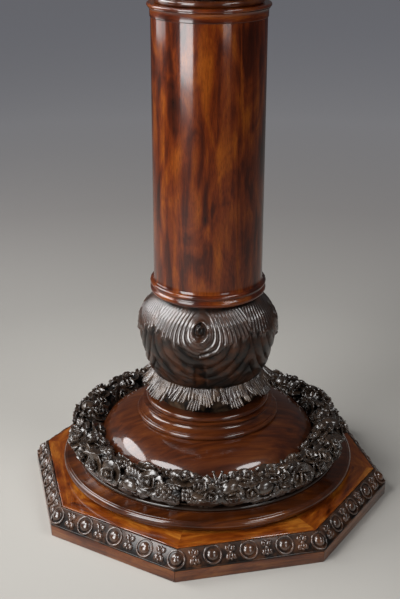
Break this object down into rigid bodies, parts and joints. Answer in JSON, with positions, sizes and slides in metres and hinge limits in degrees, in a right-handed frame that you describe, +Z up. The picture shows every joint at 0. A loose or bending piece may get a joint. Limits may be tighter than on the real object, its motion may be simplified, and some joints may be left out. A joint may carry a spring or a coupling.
{
  "type": "pedestal column stand",
  "caption": "Carved mahogany column pedestal: octagonal plinth with a coin moulding, flower wreath, leafy bulb, veneered shaft and a round top.",
  "frame": {"origin": "centre of the pedestal's footprint on the floor", "axes": "+Z up the column, -Y out of the flat side of the octagon taken as the front"},
  "size_m": [0.53, 0.53, 0.9071],
  "materials": {
    "figured_mahogany": "figured mahogany veneer, french polished to a high gloss",
    "turned_mahogany": "solid mahogany, turned or planed, french polished",
    "carved_mahogany": "carved mahogany, stained near black and waxed",
    "pine": "bare pine, sawn and planed",
    "wrought_iron": "black forged iron",
    "brass": "dull brass screws"
  },
  "bodies": {
    "root": {"deck_panel": "figured_mahogany", "skirt_board_1": "turned_mahogany", "carved_edge_1": "carved_mahogany", "glue_block_1": "pine", "skirt_board_2": "turned_mahogany", "carved_edge_2": "carved_mahogany", "glue_block_2": "pine", "skirt_board_3": "turned_mahogany", "carved_edge_3": "carved_mahogany", "glue_block_3": "pine", "skirt_board_4": "turned_mahogany", "carved_edge_4": "carved_mahogany", "glue_block_4": "pine", "skirt_board_5": "turned_mahogany", "carved_edge_5": "carved_mahogany", "glue_block_5": "pine", "skirt_board_6": "turned_mahogany", "carved_edge_6": "carved_mahogany", "glue_block_6": "pine", "skirt_board_7": "turned_mahogany", "carved_edge_7": "carved_mahogany", "glue_block_7": "pine", "skirt_board_8": "turned_mahogany", "carved_edge_8": "carved_mahogany", "glue_block_8": "pine", "base_moulding": "figured_mahogany", "wreath_seat": "carved_mahogany", "dome": "turned_mahogany", "wreath_segment_1": "carved_mahogany", "wreath_segment_2": "carved_mahogany", "wreath_segment_3": "carved_mahogany", "wreath_segment_4": "carved_mahogany", "neck_moulding": "turned_mahogany", "leaf_collar": "carved_mahogany", "carved_bulb": "carved_mahogany", "shaft_ring": "turned_mahogany", "shaft_veneer": "figured_mahogany", "shaft_stave_1": "pine", "shaft_stave_2": "pine", "shaft_stave_3": "pine", "shaft_stave_4": "pine", "shaft_stave_5": "pine", "shaft_stave_6": "pine", "shaft_stave_7": "pine", "shaft_stave_8": "pine", "plug_lower": "pine", "plug_upper": "pine", "shaft_top_band": "turned_mahogany", "neck_bead": "turned_mahogany", "capital": "carved_mahogany", "abacus": "turned_mahogany", "top_board": "figured_mahogany", "top_screw_1": "brass", "top_screw_2": "brass", "top_screw_3": "brass", "tie_rod": "wrought_iron", "rod_plate": "wrought_iron", "rod_nut_lower": "wrought_iron", "rod_washer": "wrought_iron", "rod_nut_upper": "wrought_iron"}
  },
  "joints": []
}
